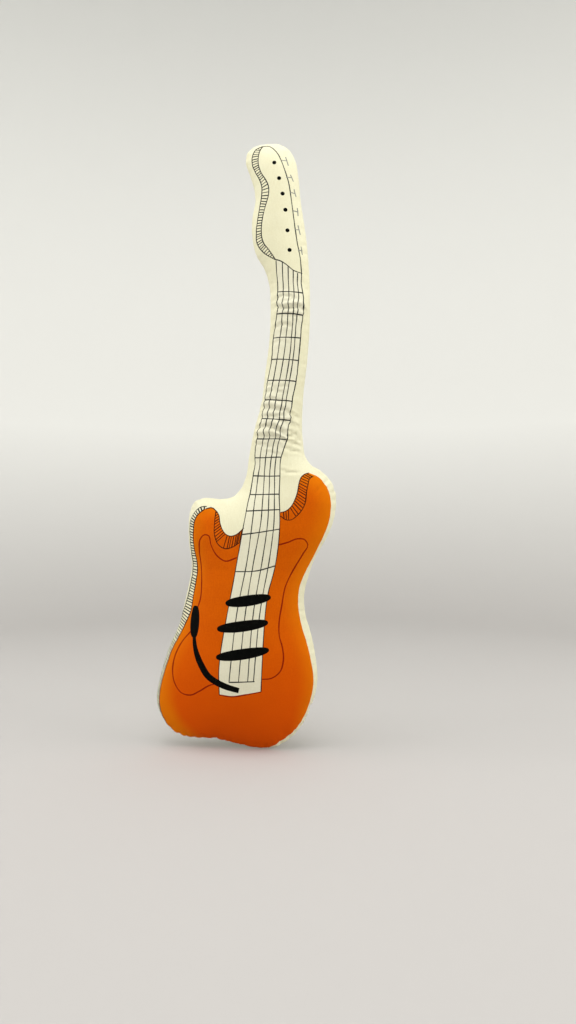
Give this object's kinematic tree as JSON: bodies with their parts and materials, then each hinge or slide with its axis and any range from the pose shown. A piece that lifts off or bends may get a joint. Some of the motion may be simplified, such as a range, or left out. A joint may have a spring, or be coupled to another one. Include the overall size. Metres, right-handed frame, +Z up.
{
  "type": "stuffed toy guitar cushion",
  "caption": "Long stuffed cotton cushion shaped and printed like an electric guitar, with a padded neck and head that flex forwards and back and spring upright.",
  "frame": {"origin": "on the surface the cushion stands on, under the middle of its bounding box", "axes": "+Z up along the neck, the printed front faces -Y, +X to the right of someone who faces the front"},
  "size_m": [0.263, 0.086, 0.8735],
  "materials": {
    "printed_canvas": "matte",
    "plain_canvas": "matte",
    "thread": "satin",
    "fibre_filling": "matte"
  },
  "bodies": {
    "body": {"front_panel": "printed_canvas", "back_panel": "plain_canvas", "seam_thread": "thread", "closing_stitches": "thread", "body_filling": "fibre_filling"},
    "neck": {"neck_filling": "fibre_filling"},
    "head": {"head_filling": "fibre_filling"}
  },
  "joints": [
    {"name": "neck_bend", "type": "hinge", "parent": "body", "child": "neck", "pos_m": [0.048, 0, 0.458], "axis": [1, 0, 0], "range_deg": [-30, 30], "stiffness_Nm_per_rad": 1.5, "deforming": ["front_panel", "back_panel", "seam_thread"]},
    {"name": "head_bend", "type": "hinge", "parent": "neck", "child": "head", "pos_m": [0.065, 0, 0.645], "axis": [1, 0, 0], "range_deg": [-30, 30], "stiffness_Nm_per_rad": 0.8, "deforming": ["front_panel", "back_panel", "seam_thread"]}
  ]
}
